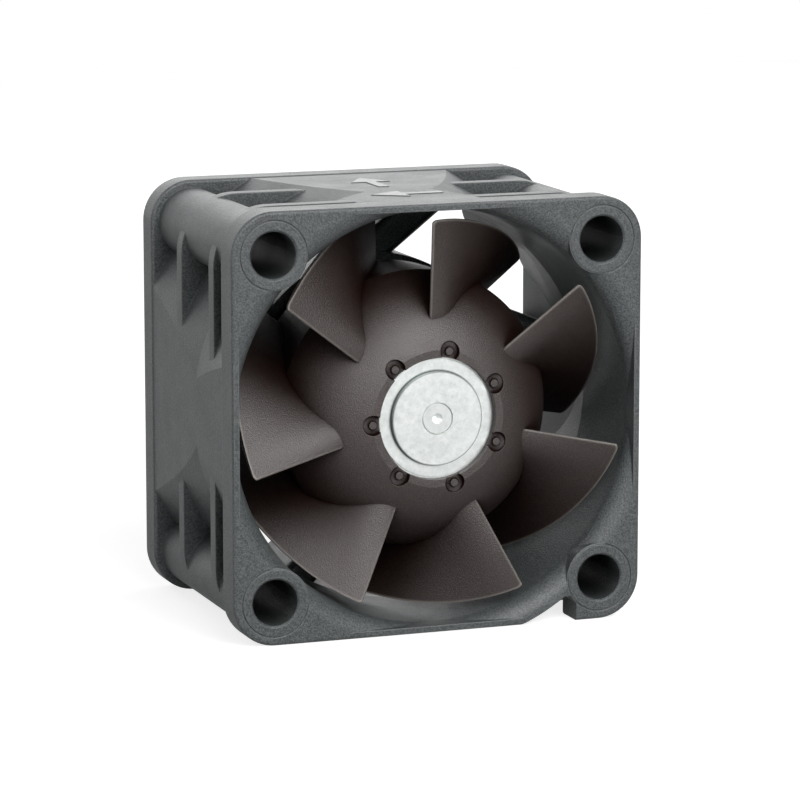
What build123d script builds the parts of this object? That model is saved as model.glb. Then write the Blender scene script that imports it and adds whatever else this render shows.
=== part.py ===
from build123d import *

import math
import os

# Square axial fan. The fan axis is Y, air enters at the front (-Y) face and leaves at the rear
# (+Y) face, +Z is up, and the origin is the centre of the square frame. Sizes in millimetres.

# Frame outline and screw holes
frame_side = 40.0
frame_depth = 28.0
corner_radius = 4.0
hole_pitch = 32.0
hole_radius = 2.15
hole_chamfer = 0.18
front_flange = 3.4
rear_flange = 3.0
flange_edge_radius = 0.3
flat_recess = 0.1
column_radius = 3.25
boss_groove_width = 0.14
boss_groove_depth = 0.08

# Duct, from the inlet flare through the throat to the outlet flare
lip = 0.65
inlet_flare_radius = 2.0
throat_draft = 0.35
throat_from_front = 11.5
outlet_angle = 8.8
duct_wall_front = 1.5
duct_wall = 1.15

# Ribs between the duct and the corner columns
rib_thickness = 1.4
rib_recess = 0.37
rib_corner_radius = 5.5
front_rib_from_front = 6.7
rear_rib_from_front = 16.6

# Notch in one front corner for the leads
notch_end = 13.7
notch_height = 2.4
notch_duct_margin = 0.75

# Outlet struts and motor base
strut_count = 6
strut_width = 3.2
strut_depth = 8.5
strut_angle = 74.0
strut_station = 17.15
strut_lean = 36.0
strut_edge_radius = 0.9
base_over_hub = 0.35
base_depth = 9.4
base_wall = 0.9
base_floor = 1.1
board_ledge = 0.7
service_hole_radius = 3.6
post_wall = 1.3
post_height = 4.4
lead_groove_width = 1.7
lead_groove_depth = 1.6

# Impeller
blade_count = 7
impeller_setback = 0.5
hub_base_gap = 2.6
hub_radius = 13.05
hub_rear_radius = 12.75
hub_ring_radius = 6.4
hub_bore_radius = 5.7
dome_station = 2.9
dome_rise = 1.4
dome_length = 6.5
hub_wall = 0.85
tip_clearance = 0.6
blade_phase = 91.4
blade_inlet_angle = 27.2
blade_outlet_angle = 58.9
blade_setback = 0.6
blade_rear_margin = 1.3
blade_rake = 0.14
blade_hollow = 0.2
blade_tip_thickness = 0.62
blade_root_thickness = 1.0
blade_edge_thickness = 0.3
blade_corner_radius = 0.7
blade_section_points = 9
gate_count = 7
gate_circle_radius = 6.33
gate_radius = 0.95
gate_depth = 0.38
gate_nub_radius = 0.36
gate_nub_height = 0.22
gate_phase = 79.5

# Steel rotor cup and magnet
cup_wall = 0.8
cup_end_wall = 0.6
pad_radius = 4.38
pad_setback = 0.7
cup_end_step = 0.52
cup_visible_radius = 5.5
cup_relief = 0.2
cup_shoulder_radius = 6.6
cup_shoulder_length = 4.6
cup_rear_setback = 0.4
magnet_thickness = 1.2
magnet_front_margin = 2.4
magnet_rear_setback = 0.2

# Shaft and its bush
shaft_radius = 1.5
shaft_centre_radius = 0.5
shaft_end_chamfer = 0.12
bush_radius = 3.1
bush_nose_radius = 1.95
bush_nose_length = 0.6
bush_length = 2.4
clip_thickness = 0.3
clip_radius = 2.4
clip_groove_depth = 0.3
shaft_tail = 0.9

# Ball bearings
bearing_radius = 3.5
bearing_width = 3.0
ball_count = 7
ball_radius = 0.5
race_clearance = 0.02
inner_ring_radius = 2.13
outer_ring_bore = 2.82
shield_thickness = 0.15
shield_recess = 0.15
shield_clearance = 0.06
cage_wall = 0.34
cage_back = 0.3
cage_mouth = 0.15

# Bearing sleeve and preload spring
sleeve_wall = 0.7
sleeve_shoulder_radius = 2.8
spring_length = 2.8
spring_wire_radius = 0.2
spring_turns = 3.5
rear_bearing_from_rear = 3.0
sleeve_front_margin = 0.2

# Stator
tooth_count = 4
air_gap = 0.35
core_from_magnet_front = 1.0
core_from_magnet_rear = 0.8
core_yoke = 1.4
tooth_width = 2.2
shoe_thickness = 0.95
slot_opening = 2.2
insulator_wall = 0.35
insulator_plate = 0.6
insulator_rim = 0.6
insulator_rim_height = 1.9
insulator_rim_width = 5.6
coil_tangent_wall = 1.6
coil_axial_wall = 1.4
coil_corner_radius = 0.6
pin_radius = 0.25
pin_socket_radius = 0.55
pin_socket_depth = 2.2
pin_tail = 0.5

# Circuit board and its parts
board_thickness = 1.0
board_from_rear = 7.4
board_edge_clearance = 0.1
board_hole_clearance = 0.25
pin_hole_clearance = 0.1
lead_hole_radius = 0.4
lead_hole_pitch = 1.6
chip_length = 4.9
chip_width = 3.9
chip_height = 1.4
chip_leg_count = 4
chip_leg_pitch = 1.27
chip_leg_width = 0.4
chip_leg_reach = 1.05
chip_leg_shoulder = 0.18
chip_leg_lean = 0.36
chip_leg_thickness = 0.18
hall_width = 3.0
hall_thickness = 1.4
hall_magnet_gap = 1.1
capacitor_radius = 1.9
capacitor_height = 3.8
capacitor_foot = 0.6
diode_length = 3.6
diode_width = 2.0
diode_height = 1.8
resistor_count = 3
resistor_length = 1.6
resistor_width = 0.8
resistor_height = 0.45
resistor_pitch = 1.4

# Places of the board's parts: margins to its ledge, and angles seen from the front
chip_margin = 0.65
lead_hole_margin = 2.0
lead_angle = -25.0
chip_angle = 135.0
capacitor_angle = 225.0
diode_angle = 295.0
resistor_angle = 45.0
hall_angle = 45.0

# Fits
fit_gap = 0.01

# Places along the fan axis
front_y = -frame_depth / 2
rear_y = frame_depth / 2
throat_y = front_y + throat_from_front
base_front_y = rear_y - base_depth
hub_front_y = front_y + impeller_setback
hub_rear_y = base_front_y - hub_base_gap
pad_y = front_y + pad_setback
cup_end_y = pad_y + cup_end_step
cup_step_y = cup_end_y + cup_relief
cup_shoulder_y = cup_step_y + cup_end_wall + cup_shoulder_length
cup_rear_y = hub_rear_y - cup_rear_setback
magnet_front_y = cup_shoulder_y + magnet_front_margin
magnet_rear_y = cup_rear_y - magnet_rear_setback
bush_front_y = pad_y + cup_end_wall
front_bearing_y = bush_front_y + bush_length + bush_nose_length
rear_bearing_y = rear_y - rear_bearing_from_rear - bearing_width
clip_y = rear_bearing_y + bearing_width
sleeve_front_y = front_bearing_y - sleeve_front_margin
sleeve_rear_y = rear_y - base_floor
core_front_y = magnet_front_y + core_from_magnet_front
core_rear_y = magnet_rear_y - core_from_magnet_rear
board_front_y = rear_y - board_from_rear - board_thickness
board_rear_y = rear_y - board_from_rear
hall_height = board_front_y - magnet_rear_y - hall_magnet_gap

# Radii that follow from each other
half_side = frame_side / 2
duct_entry_radius = half_side - lip
throat_radius = duct_entry_radius - throat_draft
outlet_radius = throat_radius + (rear_y - throat_y) * math.tan(math.radians(outlet_angle))
blade_tip_radius = throat_radius - tip_clearance
inlet_slope = math.tan(math.radians(blade_inlet_angle))
outlet_slope = math.tan(math.radians(blade_outlet_angle))
blade_depth = hub_rear_y - blade_rear_margin - front_y - blade_setback
blade_sweep = blade_depth / (blade_tip_radius * (2 * inlet_slope + outlet_slope) / 3)
cup_radius = hub_rear_radius - hub_wall
magnet_radius = cup_radius - cup_wall
magnet_bore = magnet_radius - magnet_thickness
core_radius = magnet_bore - air_gap
sleeve_bore = bearing_radius + fit_gap
sleeve_radius = sleeve_bore + sleeve_wall
core_bore = sleeve_radius + fit_gap
yoke_radius = core_bore + core_yoke
shoe_inner_radius = core_radius - shoe_thickness
coil_end_radius = math.sqrt(shoe_inner_radius ** 2 - (insulator_rim_width / 2) ** 2) - insulator_rim
base_radius = hub_rear_radius + base_over_hub
base_bore = base_radius - base_wall
ledge_radius = base_bore - board_ledge
post_radius = sleeve_radius + post_wall
board_radius = base_bore - board_edge_clearance
chip_circle = ledge_radius - chip_length / 2 - chip_margin
lead_circle = ledge_radius - lead_hole_margin
middle_circle = (ledge_radius + post_radius) / 2
ball_circle = (inner_ring_radius + outer_ring_bore) / 2


def prism(face, y_from, y_to):
    """The face, drawn with x across and z up, made solid between two places on the axis."""
    plane = Plane(origin=(0, y_to, 0), x_dir=(1, 0, 0), z_dir=(0, -1, 0))
    return extrude(plane * face, y_to - y_from)


def turned(*points):
    """A closed outline of (radius, y) points turned about the fan axis."""
    return revolve(make_face(Polyline(*points, close=True)), Axis.Y)


def disc(radius, y_from, y_to):
    """A plain disc about the fan axis."""
    return prism(Circle(radius), y_from, y_to)


def ring(inner, outer, y_from, y_to):
    """A plain ring about the fan axis."""
    return prism(Circle(outer) - Circle(inner), y_from, y_to)


def polar(radius, angle):
    """The x and z of a point at a radius and an angle, counter-clockwise from the front."""
    return radius * math.cos(math.radians(angle)), radius * math.sin(math.radians(angle))


def around(shape, angle):
    """The shape turned about the fan axis, counter-clockwise as seen from the front."""
    return Rot(0, -angle, 0) * shape


def spaced(shape, count):
    """Evenly spaced copies of the shape about the fan axis."""
    return [around(shape, k * 360 / count) for k in range(count)]


def beside_axis(shape, radius, angle):
    """The shape moved off the axis to a radius and an angle."""
    x, z = polar(radius, angle)
    return Pos(x, 0, z) * shape


def at_corners(shape):
    """Copies of the shape at the four screw holes."""
    return [beside_axis(shape, hole_pitch * math.sqrt(0.5), 45 + k * 90) for k in range(4)]


def flange(y_from, y_to):
    """A square flange with rounded corners and softened edges."""
    plate = prism(RectangleRounded(frame_side, frame_side, corner_radius), y_from, y_to)
    outer_face = plate.faces().filter_by(Axis.Y).edges()
    return fillet(outer_face, flange_edge_radius)


def duct_outside():
    """The waisted outer form of the duct, cut off flat where it meets the four sides."""
    front_radius = duct_entry_radius + duct_wall_front
    waist_radius = throat_radius + duct_wall
    rear_radius = outlet_radius + duct_wall
    waist = [(front_radius, front_y), (waist_radius, throat_y), (rear_radius, rear_y)]
    body = turned((0, front_y), *waist, (0, rear_y))
    flat_side = frame_side - 2 * flat_recess
    return body & prism(Rectangle(flat_side, flat_side), front_y, rear_y)


def rib_plate(from_front):
    """A plate across the frame, of which only the ribs beside the corner columns stay in sight."""
    side = frame_side - 2 * rib_recess
    start = front_y + from_front
    return prism(RectangleRounded(side, side, rib_corner_radius), start, start + rib_thickness)


def duct_inside():
    """The air passage: inlet flare, slightly tapered entry and conical outlet."""
    entry_y = front_y + inlet_flare_radius
    mouth = (duct_entry_radius + inlet_flare_radius, front_y)
    bulge = inlet_flare_radius * math.sqrt(0.5)
    middle = (mouth[0] - bulge, entry_y - bulge)
    flare = ThreePointArc(mouth, middle, (duct_entry_radius, entry_y))
    walls = Polyline((duct_entry_radius, entry_y), (throat_radius, throat_y), (outlet_radius, rear_y))
    back = Polyline((outlet_radius, rear_y), (0, rear_y), (0, front_y), mouth)
    passage = revolve(make_face([flare, walls, back]), Axis.Y)
    opening = frame_side - 2 * lip
    return passage & prism(Rectangle(opening, opening), front_y, rear_y)


def along_strut(width, inset, y_from):
    """A bar along the first strut's middle line, from inside the motor base outwards."""
    x, z = polar(strut_station, strut_angle)
    length = 2 * (half_side - base_radius + inset)
    outline = Pos(x, z) * Rot(0, 0, strut_angle - strut_lean) * Rectangle(length, width)
    return prism(outline, y_from, rear_y)


def strut():
    """One leaning outlet strut with a rounded front edge."""
    bar = along_strut(strut_width, 0, rear_y - strut_depth)
    front_rims = bar.faces().sort_by(Axis.Y)[0].edges().sort_by(SortBy.LENGTH)[-2:]
    return fillet(front_rims, strut_edge_radius)


def motor_base():
    """The outside of the cup that holds the board."""
    return disc(base_radius, base_front_y, rear_y)


def motor_base_hollow():
    """The room for the board, round the post that holds the bearing sleeve."""
    floor_y = rear_y - base_floor
    wide = disc(base_bore, base_front_y, board_rear_y)
    narrow = disc(ledge_radius, board_rear_y, floor_y)
    post = disc(post_radius, floor_y - post_height, floor_y)
    sleeve_seat = disc(sleeve_radius + fit_gap, base_front_y, floor_y)
    return wide + narrow - post + sleeve_seat + disc(service_hole_radius, base_front_y, rear_y)


def screw_hole():
    """The cutter for one screw hole, its two chamfers and the fine groove round its boss."""
    wide = hole_radius + hole_chamfer
    front_chamfer = front_y + hole_chamfer
    rear_chamfer = rear_y - hole_chamfer
    side = [(wide, front_y), (hole_radius, front_chamfer), (hole_radius, rear_chamfer), (wide, rear_y)]
    hole = turned((0, front_y), *side, (0, rear_y))
    boss = column_radius - boss_groove_width
    return hole + ring(boss, column_radius, front_y, front_y + boss_groove_depth)


def lead_notch(y_to):
    """The clearance beside one lower screw hole through which the leads run forward."""
    window = Pos(notch_end / 2, notch_height / 2 - half_side) * Rectangle(notch_end, notch_height)
    window -= Circle(duct_entry_radius + duct_wall_front + notch_duct_margin)
    return prism(window, front_y, y_to)


def lead_groove():
    """The groove along one strut and across the rear flange where the leads leave the base."""
    groove = along_strut(lead_groove_width, corner_radius / 2, rear_y - lead_groove_depth)
    return around(groove, -2 * 360 / strut_count)


def housing():
    """The moulded frame: flanges, duct, ribs, corner columns, struts and motor base."""
    frame = flange(front_y, front_y + front_flange) + flange(rear_y - rear_flange, rear_y)
    frame += rib_plate(front_rib_from_front)
    frame += rib_plate(rear_rib_from_front)
    frame -= lead_notch(rear_y - rear_flange)
    frame += duct_outside()
    frame -= duct_inside()
    columns = at_corners(disc(column_radius, front_y, rear_y))
    struts = [bar & duct_outside() for bar in spaced(strut(), strut_count)]
    for piece in columns + struts:
        frame += piece
    frame += motor_base()
    frame -= motor_base_hollow()
    frame -= lead_groove()
    for hole in at_corners(screw_hole()):
        frame -= hole
    return frame


def blade_place(share, radius):
    """The y of the blade's middle surface at a share of its sweep and at a radius."""
    rise = blade_tip_radius * blade_sweep * (inlet_slope * share + (outlet_slope - inlet_slope) * share ** 3 / 3)
    lean = blade_rake - blade_hollow * math.sin(math.pi * share)
    return front_y + blade_setback + rise + lean * (blade_tip_radius - radius)


def blade_section(distance, thickness):
    """The blade's section, thin at both edges, on a flat plane at a distance above the axis."""
    shares = [k / (blade_section_points - 1) for k in range(blade_section_points)]
    camber = []
    for share in shares:
        angle = blade_sweep * (share - 0.5)
        y = blade_place(share, distance / math.cos(angle))
        camber.append(Vector(distance * math.tan(angle), y))
    front_side = []
    rear_side = []
    for k, point in enumerate(camber):
        before = camber[max(k - 1, 0)]
        after = camber[min(k + 1, len(camber) - 1)]
        fullness = 4 * shares[k] * (1 - shares[k])
        local = blade_edge_thickness + (thickness - blade_edge_thickness) * fullness
        normal = (after - before).normalized().rotate(Axis.Z, 90) * (local / 2)
        front_side.append(point - normal)
        rear_side.append(point + normal)
    nose = camber[0] - (camber[1] - camber[0]).normalized() * (blade_edge_thickness / 2)
    leading = ThreePointArc(rear_side[0], nose, front_side[0])
    trailing = Line(front_side[-1], rear_side[-1])
    outline = make_face([Spline(front_side), trailing, Spline(rear_side[::-1]), leading])
    return Plane(origin=(0, 0, distance), x_dir=(1, 0, 0), z_dir=(0, 0, 1)) * outline


def blade_plan():
    """The blade's outline seen along the axis, with its two tip corners rounded."""
    half_plan = math.degrees(blade_sweep / 2 + blade_edge_thickness / blade_tip_radius)
    start = polar(blade_tip_radius, 90 + half_plan)
    end = polar(blade_tip_radius, 90 - half_plan)
    tip = ThreePointArc(start, (0, blade_tip_radius), end)
    outline = make_face([tip, Polyline(end, (0, 0), start)])
    corners = outline.vertices().sort_by(Axis.Y)[-2:]
    return fillet(corners, blade_corner_radius)


def blade():
    """One blade at the top of the hub, its sweep centred on +Z."""
    root = blade_section(hub_ring_radius, blade_root_thickness)
    tip = blade_section(blade_tip_radius + blade_corner_radius, blade_tip_thickness)
    return loft([root, tip], ruled=True) & prism(blade_plan(), front_y, rear_y)


def gate_mark():
    """The cutter for one round dimple with a small nub left in its middle."""
    start = hub_front_y - gate_depth
    dimple = ring(gate_nub_radius, gate_radius, start, hub_front_y + gate_depth)
    return dimple + disc(gate_radius, start, hub_front_y + gate_depth - gate_nub_height)


def hub():
    """The hub before its inside is cleared: flat front ring, dome and slightly tapered wall."""
    ring_edge = (hub_ring_radius, hub_front_y)
    dome_middle = (hub_ring_radius + dome_station, hub_front_y + dome_rise)
    dome_end = (hub_radius, hub_front_y + dome_length)
    dome = ThreePointArc(ring_edge, dome_middle, dome_end)
    rest = Polyline(dome_end, (hub_rear_radius, hub_rear_y), (0, hub_rear_y), (0, hub_front_y), ring_edge)
    return revolve(make_face([dome, rest]), Axis.Y)


def cup_outline():
    """The two (radius, y) ends of the cup's conical shoulder."""
    return [(cup_shoulder_radius, cup_step_y), (cup_radius, cup_step_y + cup_shoulder_length)]


def impeller():
    """The hub with its blades, hollowed to fit over the steel cup."""
    body = hub()
    first_blade = around(blade(), blade_phase - 90 - math.degrees(blade_sweep) / 2)
    for copy in spaced(first_blade, blade_count):
        body += copy
    bore = [(0, front_y), (hub_bore_radius, front_y), (hub_bore_radius, cup_step_y)]
    body -= turned(*bore, *cup_outline(), (cup_radius, base_front_y), (0, base_front_y))
    for k in range(gate_count):
        body -= beside_axis(gate_mark(), gate_circle_radius, gate_phase + k * 360 / gate_count)
    return body


def rotor_cup():
    """The drawn steel cup with its stepped end, whose middle holds the shaft."""
    slope = cup_shoulder_length / (cup_radius - cup_shoulder_radius)
    lean = math.atan(slope)
    inner_shoulder = cup_shoulder_radius - cup_wall * math.sin(lean)
    inner_shoulder += (cup_end_wall - cup_wall * math.cos(lean)) / slope
    inner_end_y = cup_step_y + cup_end_wall
    inner_radius = cup_radius - cup_wall
    inner_corner_y = inner_end_y + (inner_radius - inner_shoulder) * slope
    pad_pocket = pad_radius - cup_end_wall
    outside = [(pad_radius, pad_y), (pad_radius, cup_end_y)]
    outside += [(cup_visible_radius, cup_end_y), (cup_visible_radius, cup_step_y)]
    outside += cup_outline() + [(cup_radius, cup_rear_y)]
    inside = [(inner_radius, cup_rear_y), (inner_radius, inner_corner_y), (inner_shoulder, inner_end_y)]
    inside += [(pad_pocket, inner_end_y), (pad_pocket, bush_front_y)]
    bore = shaft_radius + fit_gap
    return turned((bore, pad_y), *outside, *inside, (bore, bush_front_y))


def magnet_ring():
    """The ring magnet inside the cup."""
    return ring(magnet_bore, magnet_radius - fit_gap, magnet_front_y, magnet_rear_y)


def shaft_bush():
    """The turned bush behind the cup's end, whose nose bears on the front inner ring."""
    bore = shaft_radius + fit_gap
    shoulder_y = bush_front_y + bush_length
    side = [(bush_radius, bush_front_y), (bush_radius, shoulder_y), (bush_nose_radius, shoulder_y)]
    return turned((bore, bush_front_y), *side, (bush_nose_radius, front_bearing_y), (bore, front_bearing_y))


def shaft():
    """The shaft, flush with the cup's end, with a groove for the retaining ring."""
    edge = shaft_radius - shaft_end_chamfer
    groove = shaft_radius - clip_groove_depth
    clip_end_y = clip_y + clip_thickness
    end_y = clip_end_y + shaft_tail
    centre = [(0, pad_y + shaft_centre_radius), (shaft_centre_radius, pad_y), (edge, pad_y)]
    front = [(shaft_radius, pad_y + shaft_end_chamfer), (shaft_radius, clip_y), (groove, clip_y)]
    rear = [(groove, clip_end_y), (shaft_radius, clip_end_y), (shaft_radius, end_y - shaft_end_chamfer)]
    return turned(*centre, *front, *rear, (edge, end_y), (0, end_y))


def retaining_ring():
    """The open ring in the shaft's groove that holds the rear bearing."""
    clip = ring(shaft_radius - clip_groove_depth + fit_gap, clip_radius, clip_y, clip_y + clip_thickness)
    gap = shaft_radius
    return clip - prism(Pos(0, -clip_radius) * Rectangle(gap, 2 * clip_radius), clip_y, rear_y)


def ball_groove(y_middle):
    """The round groove that both rings have for the balls."""
    return Pos(0, y_middle, 0) * Rot(90, 0, 0) * Torus(ball_circle, ball_radius + race_clearance)


def bearing_outer_ring(y_start):
    """An outer ring with a step at each end for its shield."""
    end_y = y_start + bearing_width
    step = outer_ring_bore + shield_recess
    front_y_seat = y_start + shield_thickness
    rear_y_seat = end_y - shield_thickness
    first = [(outer_ring_bore, front_y_seat), (step, front_y_seat), (step, y_start)]
    last = [(step, end_y), (step, rear_y_seat), (outer_ring_bore, rear_y_seat)]
    body = turned(*first, (bearing_radius, y_start), (bearing_radius, end_y), *last)
    return body - ball_groove(y_start + bearing_width / 2)


def bearing_inner_ring(y_start):
    """An inner ring."""
    body = ring(shaft_radius + fit_gap, inner_ring_radius, y_start, y_start + bearing_width)
    return body - ball_groove(y_start + bearing_width / 2)


def bearing_balls(y_start):
    """The balls of one bearing."""
    ball = Pos(0, y_start + bearing_width / 2, ball_circle) * Sphere(ball_radius)
    return Compound(spaced(ball, ball_count))


def bearing_cage(y_start):
    """The crown cage, closed at its back and open towards the front."""
    middle = y_start + bearing_width / 2
    pocket_radius = ball_radius + race_clearance
    inner = ball_circle - cage_wall / 2
    cage = ring(inner, inner + cage_wall, middle - cage_mouth, middle + pocket_radius + cage_back)
    pocket = Pos(0, middle, ball_circle) * Sphere(pocket_radius)
    for copy in spaced(pocket, ball_count):
        cage -= copy
    return cage


def bearing_shields(y_start):
    """The two thin steel shields pressed into the outer ring."""
    inner = inner_ring_radius + shield_clearance
    outer = outer_ring_bore + shield_recess - fit_gap
    front = ring(inner, outer, y_start, y_start + shield_thickness)
    return Compound([front, Pos(0, bearing_width - shield_thickness, 0) * front])


def bearing_sleeve():
    """The brass sleeve with the inner shoulder that keeps the two bearings apart."""
    shoulder_front = front_bearing_y + bearing_width
    shoulder_rear = rear_bearing_y - spring_length
    front = [(sleeve_radius, sleeve_front_y), (sleeve_bore, sleeve_front_y), (sleeve_bore, shoulder_front)]
    shoulder = [(sleeve_shoulder_radius, shoulder_front), (sleeve_shoulder_radius, shoulder_rear)]
    rear = [(sleeve_bore, shoulder_rear), (sleeve_bore, sleeve_rear_y), (sleeve_radius, sleeve_rear_y)]
    return turned(*front, *shoulder, *rear)


def preload_spring():
    """The small coil spring that pushes the rear bearing's outer ring backwards."""
    coil_radius = (sleeve_shoulder_radius + sleeve_bore) / 2
    height = spring_length - 2 * spring_wire_radius
    start_y = rear_bearing_y - spring_length + spring_wire_radius
    path = Helix(height / spring_turns, height, coil_radius, center=(0, start_y, 0), direction=(0, 1, 0))
    wire = Plane(origin=path @ 0, z_dir=path % 0) * Circle(spring_wire_radius)
    return sweep(wire, path)


def tooth_bar(width, inner, outer):
    """The flat outline of one straight tooth pointing up."""
    return Pos(0, (inner + outer) / 2) * Rectangle(width, outer - inner)


def on_teeth(outline):
    """The outline repeated for every tooth, as one flat shape."""
    shape = outline
    for k in range(1, tooth_count):
        shape += Rot(0, 0, k * 360 / tooth_count) * outline
    return shape


def stator_core():
    """The stack of steel laminations: a yoke with teeth and curved shoes."""
    shoes = Circle(core_radius) - Circle(shoe_inner_radius)
    slot = Rot(0, 0, 180 / tooth_count) * tooth_bar(slot_opening, yoke_radius, magnet_radius)
    shoes -= on_teeth(slot)
    teeth = on_teeth(tooth_bar(tooth_width, core_bore, shoe_inner_radius + shoe_thickness / 2))
    return prism(Circle(yoke_radius) + shoes + teeth - Circle(core_bore), core_front_y, core_rear_y)


def insulator(face_y, side):
    """The moulded insulator on one face of the core; side is -1 for the front, 1 for the rear."""
    width = tooth_width + 2 * insulator_wall
    inner_rim = Circle(yoke_radius) - Circle(yoke_radius - insulator_rim)
    plate = Circle(yoke_radius) + on_teeth(tooth_bar(width, core_bore, shoe_inner_radius))
    plate -= Circle(core_bore)
    outer_rim = on_teeth(tooth_bar(insulator_rim_width, coil_end_radius, coil_end_radius + insulator_rim))
    skirt_bar = tooth_bar(width, yoke_radius, shoe_inner_radius)
    skirt = on_teeth(skirt_bar - tooth_bar(tooth_width, 0, core_radius))
    top = face_y + side * insulator_plate
    rim_top = top + side * insulator_rim_height
    middle = (core_front_y + core_rear_y) / 2
    body = prism(plate, min(face_y, top), max(face_y, top))
    body += prism(inner_rim + outer_rim, min(face_y, rim_top), max(face_y, rim_top))
    skirt_cut = ring(yoke_radius, shoe_inner_radius - fit_gap, min(face_y, middle), max(face_y, middle))
    return body + (prism(skirt, min(face_y, middle), max(face_y, middle)) & skirt_cut)


def pin_place(shape, k):
    """The shape moved from the axis to the terminal pin of one tooth."""
    return beside_axis(shape, shoe_inner_radius, 90 + k * 360 / tooth_count)


def rear_insulator():
    """The rear insulator, with a round socket behind each shoe for a terminal pin."""
    body = insulator(core_rear_y, 1)
    socket_end = core_rear_y + insulator_plate + insulator_rim_height
    for k in range(tooth_count):
        body += pin_place(disc(pin_socket_radius, core_rear_y, socket_end), k)
    for k in range(tooth_count):
        body -= pin_place(disc(pin_radius + fit_gap, socket_end - pin_socket_depth, socket_end), k)
    return body


def terminal_pins():
    """The pins that carry the coil ends to the board."""
    start = core_rear_y + insulator_plate + insulator_rim_height - pin_socket_depth
    pin = disc(pin_radius, start, board_rear_y + pin_tail)
    return Compound([pin_place(pin, k) for k in range(tooth_count)])


def coil(k):
    """The winding round one tooth."""
    inner_width = tooth_width + 2 * insulator_wall + 2 * fit_gap
    inner_length = core_rear_y - core_front_y + 2 * insulator_plate + 2 * fit_gap
    outer_width = inner_width + 2 * coil_tangent_wall
    outer_length = inner_length + 2 * coil_axial_wall
    outline = RectangleRounded(outer_width, outer_length, coil_corner_radius)
    outline -= Rectangle(inner_width, inner_length)
    start = yoke_radius + fit_gap
    end = coil_end_radius - fit_gap
    middle_y = (core_front_y + core_rear_y) / 2
    inner_end = Plane(origin=(0, middle_y, start), x_dir=(1, 0, 0), z_dir=(0, 0, 1))
    body = extrude(inner_end * outline, end - start)
    return around(body, k * 360 / tooth_count)


def circuit_board():
    """The round board on its ledge, with holes for the sleeve, the pins and the leads."""
    board = ring(sleeve_radius + board_hole_clearance, board_radius, board_front_y, board_rear_y)
    pin_hole = disc(pin_radius + pin_hole_clearance, board_front_y, board_rear_y)
    lead_hole = disc(lead_hole_radius, board_front_y, board_rear_y)
    for k in range(tooth_count):
        board -= pin_place(pin_hole, k)
    for k in (-1, 0, 1):
        angle = lead_angle + math.degrees(k * lead_hole_pitch / lead_circle)
        board -= beside_axis(lead_hole, lead_circle, angle)
    return board


def on_board(outline, height, radius, angle, side=1):
    """A part on the board: an outline with x along the rim and y outwards, raised from its face."""
    x, z = polar(radius, angle)
    along_x, along_z = polar(1, angle + 90)
    face_y = board_rear_y if side > 0 else board_front_y
    plane = Plane(origin=(x, face_y, z), x_dir=(along_x, 0, along_z), z_dir=(0, side, 0))
    return extrude(plane * outline, height)


def chip_leg():
    """The side view of one gull-wing leg, from inside the package down to its foot."""
    inside = chip_width / 2 - chip_leg_thickness
    shoulder = chip_width / 2 + chip_leg_shoulder
    heel = shoulder + chip_leg_lean
    toe = chip_width / 2 + chip_leg_reach
    top = chip_height / 2
    under = top - chip_leg_thickness
    outer = [(inside, top), (shoulder, top), (heel, chip_leg_thickness), (toe, chip_leg_thickness)]
    bend = shoulder - chip_leg_thickness
    inner = [(toe, 0), (heel - chip_leg_thickness, 0), (bend, under), (inside, under)]
    return make_face(Polyline(*outer, *inner, close=True))


def driver_chip():
    """The motor driver in its package with gull-wing legs on two sides."""
    body = on_board(Rectangle(chip_width, chip_length), chip_height, chip_circle, chip_angle)
    leg = extrude(Plane.XZ * chip_leg(), chip_leg_width / 2, both=True)
    x, z = polar(chip_circle, chip_angle)
    for k in range(chip_leg_count):
        shift = (k - (chip_leg_count - 1) / 2) * chip_leg_pitch
        for turn in (0, 180):
            placed = Rot(0, 0, turn) * Pos(0, shift, 0) * leg
            body += Pos(x, board_rear_y, z) * around(Rot(-90, 0, 0) * placed, chip_angle + 90)
    return body


def hall_sensor():
    """The sensor that stands on the board's front face behind the magnet."""
    circle = (magnet_bore + magnet_radius) / 2
    return on_board(Rectangle(hall_width, hall_thickness), hall_height, circle, hall_angle, side=-1)


def filter_capacitor():
    """The round capacitor on its square foot."""
    foot_side = 2 * capacitor_radius + capacitor_foot / 2
    foot = on_board(Rectangle(foot_side, foot_side), capacitor_foot, middle_circle, capacitor_angle)
    return foot + on_board(Circle(capacitor_radius), capacitor_height, middle_circle, capacitor_angle)


def protection_diode():
    """The diode that guards against crossed leads."""
    return on_board(Rectangle(diode_length, diode_width), diode_height, middle_circle, diode_angle)


def chip_resistors():
    """A row of small resistors."""
    chips = []
    for k in range(resistor_count):
        shift = Pos(0, (k - (resistor_count - 1) / 2) * resistor_pitch)
        outline = shift * Rectangle(resistor_length, resistor_width)
        chips.append(on_board(outline, resistor_height, middle_circle, resistor_angle))
    return Compound(chips)


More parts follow.
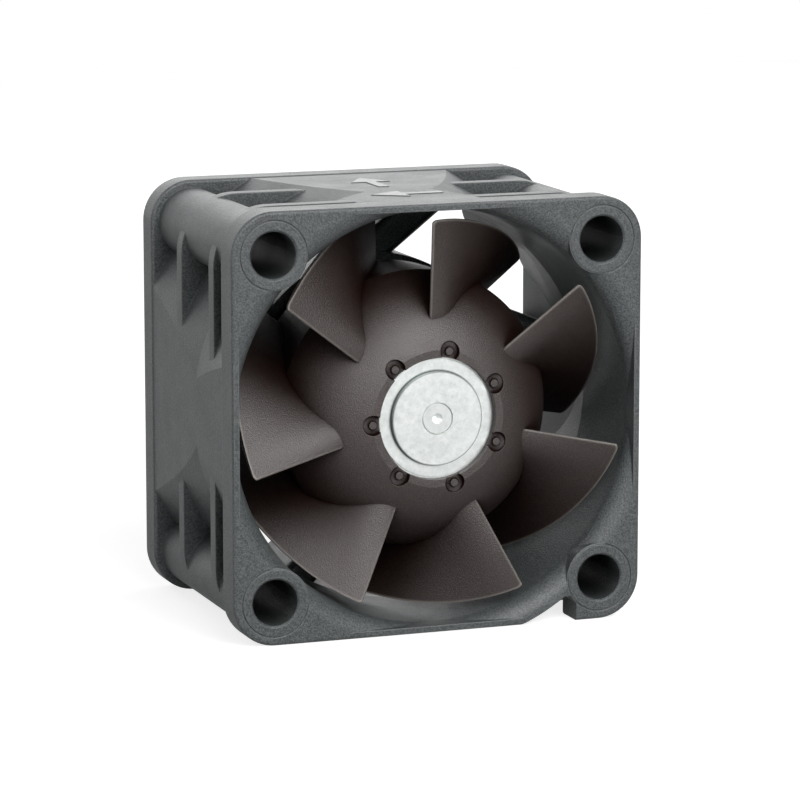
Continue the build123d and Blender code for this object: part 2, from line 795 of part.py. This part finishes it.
def all_parts():
    """Every node of the fan by name."""
    parts = {
        "housing": housing(),
        "impeller": impeller(),
        "rotor_cup": rotor_cup(),
        "magnet_ring": magnet_ring(),
        "shaft": shaft(),
        "shaft_bush": shaft_bush(),
        "retaining_ring": retaining_ring(),
        "bearing_sleeve": bearing_sleeve(),
        "preload_spring": preload_spring(),
        "stator_core": stator_core(),
        "front_insulator": insulator(core_front_y, -1),
        "rear_insulator": rear_insulator(),
        "terminal_pins": terminal_pins(),
        "circuit_board": circuit_board(),
        "driver_chip": driver_chip(),
        "hall_sensor": hall_sensor(),
        "filter_capacitor": filter_capacitor(),
        "protection_diode": protection_diode(),
        "chip_resistors": chip_resistors(),
    }
    for k in range(tooth_count):
        parts[f"coil_{k + 1}"] = coil(k)
    for place, start in (("front", front_bearing_y), ("rear", rear_bearing_y)):
        parts[f"{place}_bearing_outer_ring"] = bearing_outer_ring(start)
        parts[f"{place}_bearing_inner_ring"] = bearing_inner_ring(start)
        parts[f"{place}_bearing_balls"] = bearing_balls(start)
        parts[f"{place}_bearing_cage"] = bearing_cage(start)
        parts[f"{place}_bearing_shields"] = bearing_shields(start)
    return parts


os.makedirs("parts", exist_ok=True)
for name, shape in all_parts().items():
    export_step(shape, f"parts/{name}.step")
    print(name, round(shape.volume, 2))
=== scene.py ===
import math

import bmesh
import bpy
from mathutils import Matrix, Vector


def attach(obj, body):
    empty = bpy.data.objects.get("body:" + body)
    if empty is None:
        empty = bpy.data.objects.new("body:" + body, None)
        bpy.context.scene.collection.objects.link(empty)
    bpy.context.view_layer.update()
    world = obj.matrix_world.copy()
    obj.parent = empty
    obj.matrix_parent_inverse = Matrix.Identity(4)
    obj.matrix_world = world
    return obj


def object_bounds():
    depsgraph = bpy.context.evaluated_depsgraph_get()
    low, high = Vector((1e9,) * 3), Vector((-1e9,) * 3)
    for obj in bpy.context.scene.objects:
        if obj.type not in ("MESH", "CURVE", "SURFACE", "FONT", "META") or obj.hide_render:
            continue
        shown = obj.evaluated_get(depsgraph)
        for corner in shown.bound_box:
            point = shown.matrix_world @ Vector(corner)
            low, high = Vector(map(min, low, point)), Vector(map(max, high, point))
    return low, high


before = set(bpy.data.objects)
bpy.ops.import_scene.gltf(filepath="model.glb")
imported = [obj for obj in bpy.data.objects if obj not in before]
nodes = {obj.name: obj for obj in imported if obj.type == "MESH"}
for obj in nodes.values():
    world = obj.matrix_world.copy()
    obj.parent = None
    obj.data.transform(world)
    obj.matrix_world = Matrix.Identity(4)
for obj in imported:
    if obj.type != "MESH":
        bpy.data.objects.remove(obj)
cadLow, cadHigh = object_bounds()
mm = 0.001
noiseLow, noiseHigh = 0.3, 0.7  # nearly all values of a noise texture lie between these
plainGloss = 0.5  # the shader's own level, at which the IOR alone sets the gloss
edgeSamples = 6
shelterSamples = 8
bandLength = 0.32  # a wave texture of scale 1 repeats after about this length
print("frame loaded:", len(nodes), "nodes")


def toLinear(hexColour):
    channels = [int(hexColour[k:k + 2], 16) / 255 for k in (1, 3, 5)]
    return [c / 12.92 if c <= 0.04045 else ((c + 0.055) / 1.055) ** 2.4 for c in channels] + [1.0]


def addNode(tree, kind, inputs=None, **settings):
    node = tree.nodes.new(kind)
    for name, value in settings.items():
        setattr(node, name, value)
    for name, value in (inputs or {}).items():
        if isinstance(value, bpy.types.NodeSocket):
            tree.links.new(value, node.inputs[name])
        else:
            node.inputs[name].default_value = value
    return node


def startMaterial(name):
    material = bpy.data.materials.new(name)
    material.use_nodes = True
    material.node_tree.nodes.clear()
    return material, material.node_tree


def giveMaterial(piece, material):
    piece.data.materials.clear()
    piece.data.materials.append(material)


def fromAxis(tree, place):  # the distance from the fan axis, Y
    across = addNode(tree, "ShaderNodeVectorMath", {0: place, 1: (1, 0, 1)}, operation="MULTIPLY")
    reach = addNode(tree, "ShaderNodeVectorMath", {0: across.outputs["Vector"]}, operation="LENGTH")
    return reach.outputs["Value"]


def newPiece(name, shape):
    mesh = bpy.data.meshes.new(name)
    shape.to_mesh(mesh)
    shape.free()
    piece = bpy.data.objects.new(name, mesh)
    bpy.context.scene.collection.objects.link(piece)
    return piece


# moulded plastics: a spark-eroded mould leaves an even grain with a soft sheen; the real grain is
# too fine to show, so it is drawn coarser
speckRange = {"dark": 0.35, "light": 0.68}
# painted highlight: how thin the body must be at an edge before it is drawn paler
edgeHighlight = {"flat": 0.92, "sharp": 0.6, "fade": 1.0}  # openness inside the body; the fade is in mm


def mouldedPlastic(name, look):
    material, tree = startMaterial(name)
    place = addNode(tree, "ShaderNodeTexCoord").outputs["Object"]
    grain = addNode(tree, "ShaderNodeTexNoise", {
        "Vector": place, "Scale": 1 / (look["grainSize"] * mm), "Detail": 2.0, "Roughness": 0.6})
    cloud = addNode(tree, "ShaderNodeTexNoise", {
        "Vector": place, "Scale": 1 / (look["cloudSize"] * mm), "Detail": 3.0, "Roughness": 0.55})
    speck = addNode(tree, "ShaderNodeMapRange", {
        "Value": grain.outputs["Fac"], "From Min": speckRange["dark"], "From Max": speckRange["light"]})
    tone = addNode(tree, "ShaderNodeMix", {
        0: speck.outputs["Result"], 6: toLinear(look["dark"]), 7: toLinear(look["light"])},
        data_type="RGBA")
    rough = addNode(tree, "ShaderNodeMapRange", {
        "Value": cloud.outputs["Fac"], "From Min": noiseLow, "From Max": noiseHigh,
        "To Min": look["roughness"] - look["roughnessSpread"],
        "To Max": look["roughness"] + look["roughnessSpread"]})
    softEdge = addNode(tree, "ShaderNodeBevel", {"Radius": look["edgeRadius"] * mm}, samples=edgeSamples)
    colour = tone.outputs[2]
    gloss = plainGloss
    for recessShade in look.get("recessShades", []):
        # painted shade: the more closed in a spot is, the darker it is drawn and the less gloss it keeps,
        # for the light that doesn't reach holes, ribs and corners
        shelter = addNode(tree, "ShaderNodeAmbientOcclusion", {"Distance": recessShade["depth"] * mm},
                          samples=shelterSamples, only_local=True)
        shadeAmount = addNode(tree, "ShaderNodeMapRange", {
            "Value": shelter.outputs["AO"], "From Min": recessShade["open"], "From Max": recessShade["closed"],
            "To Max": recessShade["share"]})
        colour = addNode(tree, "ShaderNodeMix", {
            0: shadeAmount.outputs["Result"], 6: colour, 7: toLinear(recessShade["colour"])},
            data_type="RGBA").outputs[2]
        bare = addNode(tree, "ShaderNodeMath", {0: 1.0, 1: shadeAmount.outputs["Result"]}, operation="SUBTRACT")
        gloss = addNode(tree, "ShaderNodeMath", {
            0: bare.outputs["Value"], 1: gloss}, operation="MULTIPLY").outputs["Value"]
    if "rim" in look:
        # painted highlight: the part's own thin edges are drawn paler, for the light that catches them
        thickness = addNode(tree, "ShaderNodeAmbientOcclusion", {"Distance": look["rimWidth"] * mm},
                            samples=shelterSamples, only_local=True, inside=True)
        edge = addNode(tree, "ShaderNodeMapRange", {
            "Value": thickness.outputs["AO"], "From Min": edgeHighlight["flat"], "From Max": edgeHighlight["sharp"],
            "To Max": look["rimShare"]})
        outer = addNode(tree, "ShaderNodeMapRange", {
            "Value": fromAxis(tree, place), "From Min": look["rimFrom"] * mm,
            "From Max": (look["rimFrom"] + edgeHighlight["fade"]) * mm})
        rim = addNode(tree, "ShaderNodeMath", {
            0: edge.outputs["Result"], 1: outer.outputs["Result"]}, operation="MULTIPLY")
        colour = addNode(tree, "ShaderNodeMix", {
            0: rim.outputs["Value"], 6: colour, 7: toLinear(look["rim"])}, data_type="RGBA").outputs[2]
    bump = addNode(tree, "ShaderNodeBump", {
        "Height": grain.outputs["Fac"], "Strength": look["bump"], "Distance": look["grainSize"] * mm,
        "Normal": softEdge.outputs["Normal"]})
    shader = addNode(tree, "ShaderNodeBsdfPrincipled", {
        "Base Color": colour, "Roughness": rough.outputs["Result"], "IOR": look.get("ior", 1.5),
        "Specular IOR Level": gloss, "Normal": bump.outputs["Normal"]})
    addNode(tree, "ShaderNodeOutputMaterial", {"Surface": shader.outputs["BSDF"]})
    return material


# metals: a rolled, ground or turned skin with cloudy patches and fine marks, drawn coarse enough to show
def workedMetal(name, look):
    material, tree = startMaterial(name)
    place = addNode(tree, "ShaderNodeTexCoord").outputs["Object"]
    if "stretch" in look:
        stretched = addNode(tree, "ShaderNodeMapping", {"Vector": place, "Scale": look["stretch"]})
        place = stretched.outputs["Vector"]
    grain = addNode(tree, "ShaderNodeTexNoise", {
        "Vector": place, "Scale": 1 / (look["grainSize"] * mm), "Detail": 3.0, "Roughness": 0.6})
    cloud = addNode(tree, "ShaderNodeTexNoise", {
        "Vector": place, "Scale": 1 / (look["cloudSize"] * mm), "Detail": 3.0, "Roughness": 0.6})
    tone = addNode(tree, "ShaderNodeMix", {
        0: cloud.outputs["Fac"], 6: toLinear(look["dark"]), 7: toLinear(look["light"])},
        data_type="RGBA")
    rough = addNode(tree, "ShaderNodeMapRange", {
        "Value": grain.outputs["Fac"], "From Min": noiseLow, "From Max": noiseHigh,
        "To Min": look["roughness"] - look["roughnessSpread"],
        "To Max": look["roughness"] + look["roughnessSpread"]})
    bump = addNode(tree, "ShaderNodeBump", {
        "Height": grain.outputs["Fac"], "Strength": look["bump"], "Distance": look["grainSize"] * mm})
    shader = addNode(tree, "ShaderNodeBsdfPrincipled", {
        "Base Color": tone.outputs[2], "Metallic": 1.0, "Roughness": rough.outputs["Result"],
        "Normal": bump.outputs["Normal"]})
    addNode(tree, "ShaderNodeOutputMaterial", {"Surface": shader.outputs["BSDF"]})
    return material


# frame: glass-filled PBT, dark grey, dull with a light speckle; painted shade makes it nearly black deep in
# its holes, and a painted highlight runs along its edges
framePlastic = mouldedPlastic("framePbtGlassFilled", {
    "dark": "#383c3d", "light": "#636768",
    "rim": "#7c8080", "rimShare": 0.5, "rimWidth": 0.15, "rimFrom": 0.0,
    "recessShades": [{"depth": 6.0, "open": 0.58, "closed": 0.15, "share": 0.85, "colour": "#0c0d0d"}],
    "grainSize": 0.15, "cloudSize": 4.0, "roughness": 0.36, "roughnessSpread": 0.05, "bump": 0.35,
    "edgeRadius": 0.16})
giveMaterial(nodes["housing"], framePlastic)

# impeller: polyamide moulding, brown-black with a neutral sheen, finer grain than the frame; a painted
# highlight along the blade edges, and painted shade, darker and redder, in its dimples and between the
# blades
impellerPlastic = mouldedPlastic("impellerPolyamide", {
    "dark": "#140b09", "light": "#3b2d28",
    "rim": "#857f79", "rimShare": 0.75, "rimWidth": 0.28, "rimFrom": 7.6,
    "recessShades": [{"depth": 0.5, "open": 0.93, "closed": 0.6, "share": 0.75, "colour": "#080403"},
                 {"depth": 12.0, "open": 0.97, "closed": 0.62, "share": 0.9, "colour": "#160a07"}],
    "grainSize": 0.12, "cloudSize": 3.0, "roughness": 0.43, "roughnessSpread": 0.04, "bump": 0.5,
    "edgeRadius": 0.1, "ior": 1.72})
giveMaterial(nodes["impeller"], impellerPlastic)


# rotor cup: drawn steel with a bright zinc coat, pale and cloudy, with pits, and a dark line of painted
# shade in the pressed step
def zincCoat(look):
    material, tree = startMaterial("zincPlatedSteel")
    place = addNode(tree, "ShaderNodeTexCoord").outputs["Object"]
    cloud = addNode(tree, "ShaderNodeTexNoise", {
        "Vector": place, "Scale": 1 / (look["cloudSize"] * mm), "Detail": 4.0, "Roughness": 0.65})
    pits = addNode(tree, "ShaderNodeTexNoise", {
        "Vector": place, "Scale": 1 / (look["pitSize"] * mm), "Detail": 2.0, "Roughness": 0.5})
    pitted = addNode(tree, "ShaderNodeMapRange", {
        "Value": pits.outputs["Fac"], "From Min": look["pitFrom"], "From Max": look["pitFull"],
        "To Max": look["pitShare"]})
    fromStep = addNode(tree, "ShaderNodeMath", {
        0: fromAxis(tree, place), 1: look["stepRadius"] * mm}, operation="SUBTRACT")
    distance = addNode(tree, "ShaderNodeMath", {0: fromStep.outputs["Value"]}, operation="ABSOLUTE")
    # painted shade: a thin dark line drawn round the axis at the step's radius
    stepShade = addNode(tree, "ShaderNodeMapRange", {
        "Value": distance.outputs["Value"], "From Min": look["lineWidth"] * mm, "From Max": 0.0,
        "To Max": look["lineShare"]})
    pale = addNode(tree, "ShaderNodeMix", {
        0: cloud.outputs["Fac"], 6: toLinear(look["dark"]), 7: toLinear(look["light"])},
        data_type="RGBA")
    spotted = addNode(tree, "ShaderNodeMix", {
        0: pitted.outputs["Result"], 6: pale.outputs[2], 7: toLinear(look["pit"])},
        data_type="RGBA")
    tone = addNode(tree, "ShaderNodeMix", {
        0: stepShade.outputs["Result"], 6: spotted.outputs[2], 7: toLinear(look["line"])},
        data_type="RGBA")
    rough = addNode(tree, "ShaderNodeMapRange", {
        "Value": cloud.outputs["Fac"], "From Min": noiseLow, "From Max": noiseHigh,
        "To Min": look["roughness"] - look["roughnessSpread"],
        "To Max": look["roughness"] + look["roughnessSpread"]})
    bump = addNode(tree, "ShaderNodeBump", {
        "Height": pits.outputs["Fac"], "Strength": look["bump"], "Distance": look["pitSize"] * mm})
    shader = addNode(tree, "ShaderNodeBsdfPrincipled", {
        "Base Color": tone.outputs[2], "Metallic": 1.0, "Roughness": rough.outputs["Result"],
        "Normal": bump.outputs["Normal"]})
    addNode(tree, "ShaderNodeOutputMaterial", {"Surface": shader.outputs["BSDF"]})
    return material


giveMaterial(nodes["rotor_cup"], zincCoat({
    "dark": "#c9cfcd", "light": "#fafcfa", "cloudSize": 0.5,
    "pit": "#b4bab8", "pitShare": 0.25, "pitSize": 0.22, "pitFrom": 0.62, "pitFull": 0.72,
    "line": "#3a4441", "lineShare": 0.95, "lineWidth": 0.17, "stepRadius": 4.41,
    "roughness": 0.36, "roughnessSpread": 0.05, "bump": 0.03}))

# bearings: ground hardened steel, smooth, with sharper reflections than the coated parts
groundSteel = workedMetal("groundSteel", {
    "dark": "#b9bbbb", "light": "#cfd0cf", "grainSize": 0.06, "cloudSize": 1.2,
    "roughness": 0.22, "roughnessSpread": 0.04, "bump": 0.05, "stretch": (1.0, 12.0, 1.0)})
for name in ("front_bearing_outer_ring", "front_bearing_inner_ring", "front_bearing_balls",
             "rear_bearing_outer_ring", "rear_bearing_inner_ring", "rear_bearing_balls"):
    giveMaterial(nodes[name], groundSteel)

# shaft: ground steel, coated together with the cup, so its end is nearly as pale as the cup's
coatedShaft = workedMetal("coatedShaft", {
    "dark": "#cdd2d0", "light": "#f2f4f2", "grainSize": 0.10, "cloudSize": 0.6,
    "roughness": 0.34, "roughnessSpread": 0.05, "bump": 0.10})
giveMaterial(nodes["shaft"], coatedShaft)

# shields, spring and retaining ring: spring steel strip with a blue-grey tint
springSteel = workedMetal("springSteelStrip", {
    "dark": "#83868a", "light": "#a5a7a8", "grainSize": 0.08, "cloudSize": 1.0,
    "roughness": 0.30, "roughnessSpread": 0.05, "bump": 0.08})
for name in ("front_bearing_shields", "rear_bearing_shields", "preload_spring", "retaining_ring"):
    giveMaterial(nodes[name], springSteel)

# sleeve and bush: free-cutting brass with turning marks round the axis
turnedBrass = workedMetal("turnedBrass", {
    "dark": "#b8913f", "light": "#d7b463", "grainSize": 0.10, "cloudSize": 2.0,
    "roughness": 0.28, "roughnessSpread": 0.05, "bump": 0.10, "stretch": (0.15, 3.0, 0.15)})
for name in ("bearing_sleeve", "shaft_bush"):
    giveMaterial(nodes[name], turnedBrass)

# pins: tinned brass wire, soft and greyish
tinnedWire = workedMetal("tinnedWire", {
    "dark": "#b4b3ac", "light": "#d2d1ca", "grainSize": 0.08, "cloudSize": 0.8,
    "roughness": 0.34, "roughnessSpread": 0.05, "bump": 0.10})
giveMaterial(nodes["terminal_pins"], tinnedWire)

# capacitor: bare drawn aluminium can
drawnAluminium = workedMetal("drawnAluminiumCan", {
    "dark": "#b9bcc0", "light": "#d4d6d8", "grainSize": 0.07, "cloudSize": 1.5,
    "roughness": 0.32, "roughnessSpread": 0.05, "bump": 0.08, "stretch": (1.0, 6.0, 1.0)})
giveMaterial(nodes["filter_capacitor"], drawnAluminium)

# magnet: plastic-bonded ferrite, near black and chalky
bondedFerrite = mouldedPlastic("bondedFerrite", {
    "dark": "#1d1c1c", "light": "#2b2a29", "grainSize": 0.10, "cloudSize": 2.0,
    "roughness": 0.62, "roughnessSpread": 0.05, "bump": 0.2, "edgeRadius": 0.1})
giveMaterial(nodes["magnet_ring"], bondedFerrite)

# insulators: natural-coloured PBT, cream and slightly waxy
insulatorPlastic = mouldedPlastic("insulatorPbtNatural", {
    "dark": "#cfc8b4", "light": "#dfd9c8", "grainSize": 0.15, "cloudSize": 2.0,
    "roughness": 0.45, "roughnessSpread": 0.05, "bump": 0.1, "edgeRadius": 0.1})
for name in ("front_insulator", "rear_insulator"):
    giveMaterial(nodes[name], insulatorPlastic)

# cages: glass-filled nylon, amber
cagePlastic = mouldedPlastic("cageNylon", {
    "dark": "#a8905c", "light": "#bda673", "grainSize": 0.10, "cloudSize": 1.0,
    "roughness": 0.42, "roughnessSpread": 0.05, "bump": 0.1, "edgeRadius": 0.05})
for name in ("front_bearing_cage", "rear_bearing_cage"):
    giveMaterial(nodes[name], cagePlastic)

# packages: black epoxy moulding compound, matt
chipEpoxy = mouldedPlastic("epoxyPackage", {
    "dark": "#161616", "light": "#242424", "grainSize": 0.08, "cloudSize": 1.0,
    "roughness": 0.55, "roughnessSpread": 0.05, "bump": 0.2, "edgeRadius": 0.06})
for name in ("driver_chip", "hall_sensor", "protection_diode", "chip_resistors"):
    giveMaterial(nodes[name], chipEpoxy)


# board: glass epoxy under green solder mask, with a faint weave and a wet gloss
def solderMask(look):
    material, tree = startMaterial("solderMaskBoard")
    place = addNode(tree, "ShaderNodeTexCoord").outputs["Object"]
    threads = []
    for direction in ("X", "Z"):
        wave = addNode(tree, "ShaderNodeTexWave", {
            "Vector": place, "Scale": bandLength / (look["threadPitch"] * mm),
            "Distortion": look["threadWander"]}, bands_direction=direction)
        threads.append(wave.outputs["Fac"])
    weave = addNode(tree, "ShaderNodeMath", {0: threads[0], 1: threads[1]}, operation="MULTIPLY")
    tone = addNode(tree, "ShaderNodeMix", {
        0: weave.outputs["Value"], 6: toLinear(look["dark"]), 7: toLinear(look["light"])},
        data_type="RGBA")
    bump = addNode(tree, "ShaderNodeBump", {
        "Height": weave.outputs["Value"], "Strength": look["bump"], "Distance": look["threadHeight"] * mm})
    shader = addNode(tree, "ShaderNodeBsdfPrincipled", {
        "Base Color": tone.outputs[2], "Roughness": look["roughness"], "IOR": 1.5,
        "Normal": bump.outputs["Normal"]})
    addNode(tree, "ShaderNodeOutputMaterial", {"Surface": shader.outputs["BSDF"]})
    return material


giveMaterial(nodes["circuit_board"], solderMask({
    "dark": "#0f3a20", "light": "#1b5230", "threadPitch": 0.5, "threadWander": 0.4, "threadHeight": 0.05,
    "bump": 0.15, "roughness": 0.24}))


# windings: enamelled copper wire laid side by side, so the bundle shows fine ridges
def windingWire(look):
    material, tree = startMaterial("enamelledCopperWire")
    place = addNode(tree, "ShaderNodeTexCoord").outputs["Object"]
    turns = addNode(tree, "ShaderNodeMath", {
        0: fromAxis(tree, place), 1: math.pi / (look["wireSize"] * mm)}, operation="MULTIPLY")
    ridge = addNode(tree, "ShaderNodeMath", {0: turns.outputs["Value"]}, operation="SINE")
    height = addNode(tree, "ShaderNodeMath", {0: ridge.outputs["Value"]}, operation="ABSOLUTE")
    # painted shade and highlight: the grooves between turns are drawn darker and the crests paler
    tone = addNode(tree, "ShaderNodeMix", {
        0: height.outputs["Value"], 6: toLinear(look["dark"]), 7: toLinear(look["light"])},
        data_type="RGBA")
    bump = addNode(tree, "ShaderNodeBump", {
        "Height": height.outputs["Value"], "Strength": look["bump"], "Distance": look["wireSize"] / 2 * mm})
    shader = addNode(tree, "ShaderNodeBsdfPrincipled", {
        "Base Color": tone.outputs[2], "Roughness": look["roughness"], "IOR": look["ior"],
        "Normal": bump.outputs["Normal"]})
    addNode(tree, "ShaderNodeOutputMaterial", {"Surface": shader.outputs["BSDF"]})
    return material


windingMaterial = windingWire({
    "dark": "#6a2f14", "light": "#b5642f", "wireSize": 0.18, "bump": 0.9, "roughness": 0.3, "ior": 1.6})
for k in range(1, 5):
    giveMaterial(nodes[f"coil_{k}"], windingMaterial)


# stator core: stamped silicon steel sheets, whose edges show as fine lines across the axis
def laminatedSteel(look):
    material, tree = startMaterial("laminatedSiliconSteel")
    place = addNode(tree, "ShaderNodeTexCoord").outputs["Object"]
    sheets = addNode(tree, "ShaderNodeTexWave", {
        "Vector": place, "Scale": bandLength / (look["sheet"] * mm), "Distortion": 0.0},
        bands_direction="Y")
    tone = addNode(tree, "ShaderNodeMix", {
        0: sheets.outputs["Fac"], 6: toLinear(look["dark"]), 7: toLinear(look["light"])},
        data_type="RGBA")
    shader = addNode(tree, "ShaderNodeBsdfPrincipled", {
        "Base Color": tone.outputs[2], "Metallic": 1.0, "Roughness": look["roughness"]})
    addNode(tree, "ShaderNodeOutputMaterial", {"Surface": shader.outputs["BSDF"]})
    return material


giveMaterial(nodes["stator_core"], laminatedSteel({
    "dark": "#4a4a4c", "light": "#8b8c8e", "sheet": 0.35, "roughness": 0.38}))
print("materials given to the frame's solids")

# direction marks: two plain arrows moulded on the top, one along the air, one the way the blades turn
arrowLook = {"length": 7.0, "headLength": 3.2, "headWidth": 3.9, "shaftWidth": 1.0, "height": 0.07,
             "surface": 19.9, "airTip": (-0.3, 7.3), "turnTip": (-3.6, -5.3)}


def directionArrow(name, tip, turn, look):
    shape = bmesh.new()
    half = look["headWidth"] / 2
    neck = look["shaftWidth"] / 2
    outline = [(0, 0), (half, -look["headLength"]), (neck, -look["headLength"]), (neck, -look["length"]),
               (-neck, -look["length"]), (-neck, -look["headLength"]), (-half, -look["headLength"])]
    corners = [shape.verts.new((x * mm, y * mm, 0)) for x, y in outline]
    face = shape.faces.new(corners)
    face.normal_update()
    if face.normal.z < 0:
        face.normal_flip()
    raised = bmesh.ops.extrude_face_region(shape, geom=[face])
    top = [v for v in raised["geom"] if isinstance(v, bmesh.types.BMVert)]
    bmesh.ops.translate(shape, verts=top, vec=(0, 0, look["height"] * mm))
    bmesh.ops.recalc_face_normals(shape, faces=shape.faces)
    bmesh.ops.rotate(shape, verts=shape.verts, cent=(0, 0, 0), matrix=Matrix.Rotation(turn, 3, "Z"))
    bmesh.ops.translate(shape, verts=shape.verts, vec=(tip[0] * mm, tip[1] * mm, look["surface"] * mm))
    return newPiece(name, shape)


# the arrows' tone is paler and more even than the frame's: a painted highlight for the brighter look of
# their polished tops
arrowPlastic = mouldedPlastic("framePbtPolished", {
    "dark": "#565a5b", "light": "#626667", "grainSize": 0.16, "cloudSize": 2.0,
    "roughness": 0.22, "roughnessSpread": 0.03, "bump": 0.05, "edgeRadius": 0.05})
for name, tip, turn in (("airArrow", arrowLook["airTip"], 0.0),
                        ("turnArrow", arrowLook["turnTip"], math.radians(90))):
    arrow = directionArrow(name, tip, turn, arrowLook)
    giveMaterial(arrow, arrowPlastic)
    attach(arrow, "frame")
print("direction arrows made")

# camera: fitted to the photograph's own view of the front and left side; degrees, mm and pixels
cameraLook = {"azimuth": -20.106, "elevation": 10.058, "distance": 384.25, "right": 1.114, "up": -0.46,
              "focalPixels": 4041.6, "imageSide": 800, "sensor": 36.0, "nearest": 10, "farthest": 20000}


# the direction from the origin to a place, in degrees round from the front and up from the floor
def fromFront(aroundAngle, upAngle):
    turn, rise = math.radians(aroundAngle), math.radians(upAngle)
    return Vector((math.sin(turn) * math.cos(rise), -math.cos(turn) * math.cos(rise), math.sin(rise)))


backward = fromFront(cameraLook["azimuth"], cameraLook["elevation"])
rightward = Vector((0, 0, 1)).cross(backward).normalized()
upward = backward.cross(rightward)
cameraData = bpy.data.cameras.new("photoCamera")
cameraData.sensor_width = cameraLook["sensor"]
cameraData.lens = cameraLook["focalPixels"] / cameraLook["imageSide"] * cameraData.sensor_width
camera = bpy.data.objects.new("photoCamera", cameraData)
bpy.context.scene.collection.objects.link(camera)
turned = Matrix((rightward, upward, backward)).transposed().to_4x4()
turned.translation = (rightward * cameraLook["right"] + upward * cameraLook["up"]
                      + backward * cameraLook["distance"]) * mm
camera.matrix_world = turned
cameraData.clip_start = cameraLook["nearest"] * mm
cameraData.clip_end = cameraLook["farthest"] * mm
bpy.context.scene.camera = camera
print("camera placed")

# studio: a pale floor, four soft boxes in front and three behind, and a dark card at the right
studioLook = {  # lengths in metres; a lamp stands at so many degrees round from the front and up
    "floorColour": "#c4c4c4", "floorGlow": 0.78, "floorSheen": 0.16, "floorSide": 1.0,
    "floorDrop": 0.02 * mm, "worldFill": 0.12, "lampDistance": 0.55, "lampSide": 0.30,
    "lamps": {
        "keyBox": {"round": 0, "up": 30, "power": 1.25},
        "highBox": {"round": 20, "up": 45, "power": 1.0},
        "lowBox": {"round": 20, "up": 14, "power": 0.32},
        "leftBox": {"round": -45, "up": 13, "power": 0.36},
        "leftRearBox": {"round": -140, "up": 40, "power": 0.25},
        "rearBox": {"round": 170, "up": 25, "power": 0.3},
        "rightRearBox": {"round": 125, "up": 40, "power": 0.5},
    },
    "darkCard": {"place": (0.36, -0.06, 0.05), "side": 0.45, "colour": "#141414"},
}
floorShape = bmesh.new()
bmesh.ops.create_grid(floorShape, x_segments=1, y_segments=1, size=studioLook["floorSide"] / 2)
bmesh.ops.translate(floorShape, verts=floorShape.verts, vec=(0, 0, cadLow.z - studioLook["floorDrop"]))
studioFloor = newPiece("studioFloor", floorShape)
floorMaterial, floorTree = startMaterial("matWhiteFloor")
floorSkin = addNode(floorTree, "ShaderNodeBsdfDiffuse", {"Color": toLinear(studioLook["floorColour"])})
# the floor glows white for the camera and a little in reflections, and adds no light to the object
floorRays = addNode(floorTree, "ShaderNodeLightPath")
floorMirrored = addNode(floorTree, "ShaderNodeMath", {
    0: floorRays.outputs["Is Glossy Ray"], 1: studioLook["floorSheen"]}, operation="MULTIPLY")
floorLift = addNode(floorTree, "ShaderNodeMath", {
    0: floorRays.outputs["Is Camera Ray"], 1: studioLook["floorGlow"],
    2: floorMirrored.outputs["Value"]}, operation="MULTIPLY_ADD")
floorGlow = addNode(floorTree, "ShaderNodeEmission", {"Strength": floorLift.outputs["Value"]})
floorSum = addNode(floorTree, "ShaderNodeAddShader", {
    0: floorSkin.outputs["BSDF"], 1: floorGlow.outputs["Emission"]})
addNode(floorTree, "ShaderNodeOutputMaterial", {"Surface": floorSum.outputs["Shader"]})
giveMaterial(studioFloor, floorMaterial)

cardLook = studioLook["darkCard"]
cardShape = bmesh.new()
bmesh.ops.create_grid(cardShape, x_segments=1, y_segments=1, size=cardLook["side"] / 2)
aim = (-Vector(cardLook["place"])).to_track_quat("Z", "Y").to_matrix()
bmesh.ops.rotate(cardShape, verts=cardShape.verts, cent=(0, 0, 0), matrix=aim)
bmesh.ops.translate(cardShape, verts=cardShape.verts, vec=cardLook["place"])
darkCard = newPiece("darkCard", cardShape)
cardMaterial, cardTree = startMaterial("blackCard")
cardSkin = addNode(cardTree, "ShaderNodeBsdfDiffuse", {"Color": toLinear(cardLook["colour"])})
addNode(cardTree, "ShaderNodeOutputMaterial", {"Surface": cardSkin.outputs["BSDF"]})
giveMaterial(darkCard, cardMaterial)
darkCard.visible_camera = False

for name, lamp in studioLook["lamps"].items():
    lampData = bpy.data.lights.new(name, "AREA")
    lampData.shape = "SQUARE"
    lampData.size = studioLook["lampSide"]
    lampData.energy = lamp["power"]
    lampObject = bpy.data.objects.new(name, lampData)
    bpy.context.scene.collection.objects.link(lampObject)
    lampObject.location = fromFront(lamp["round"], lamp["up"]) * studioLook["lampDistance"]
    lampObject.rotation_mode = "QUATERNION"
    lampObject.rotation_quaternion = (-lampObject.location).to_track_quat("-Z", "Y")

# the world is white to the camera and in reflections, and a weak fill everywhere else
world = bpy.data.worlds.new("studioWorld")
bpy.context.scene.world = world
world.use_nodes = True
worldTree = world.node_tree
worldTree.nodes.clear()
rays = addNode(worldTree, "ShaderNodeLightPath")
glossyOrCamera = addNode(worldTree, "ShaderNodeMath", {
    0: rays.outputs["Is Camera Ray"], 1: rays.outputs["Is Glossy Ray"]}, operation="MAXIMUM")
seen = addNode(worldTree, "ShaderNodeMath", {
    0: glossyOrCamera.outputs["Value"], 1: rays.outputs["Is Transmission Ray"]}, operation="MAXIMUM")
strength = addNode(worldTree, "ShaderNodeMapRange", {
    "Value": seen.outputs["Value"], "To Min": studioLook["worldFill"], "To Max": 1.0})
sky = addNode(worldTree, "ShaderNodeBackground", {
    "Color": (1, 1, 1, 1), "Strength": strength.outputs["Result"]})
addNode(worldTree, "ShaderNodeOutputWorld", {"Surface": sky.outputs["Background"]})

bpy.context.scene.view_settings.view_transform = "Standard"
print("studio lit")
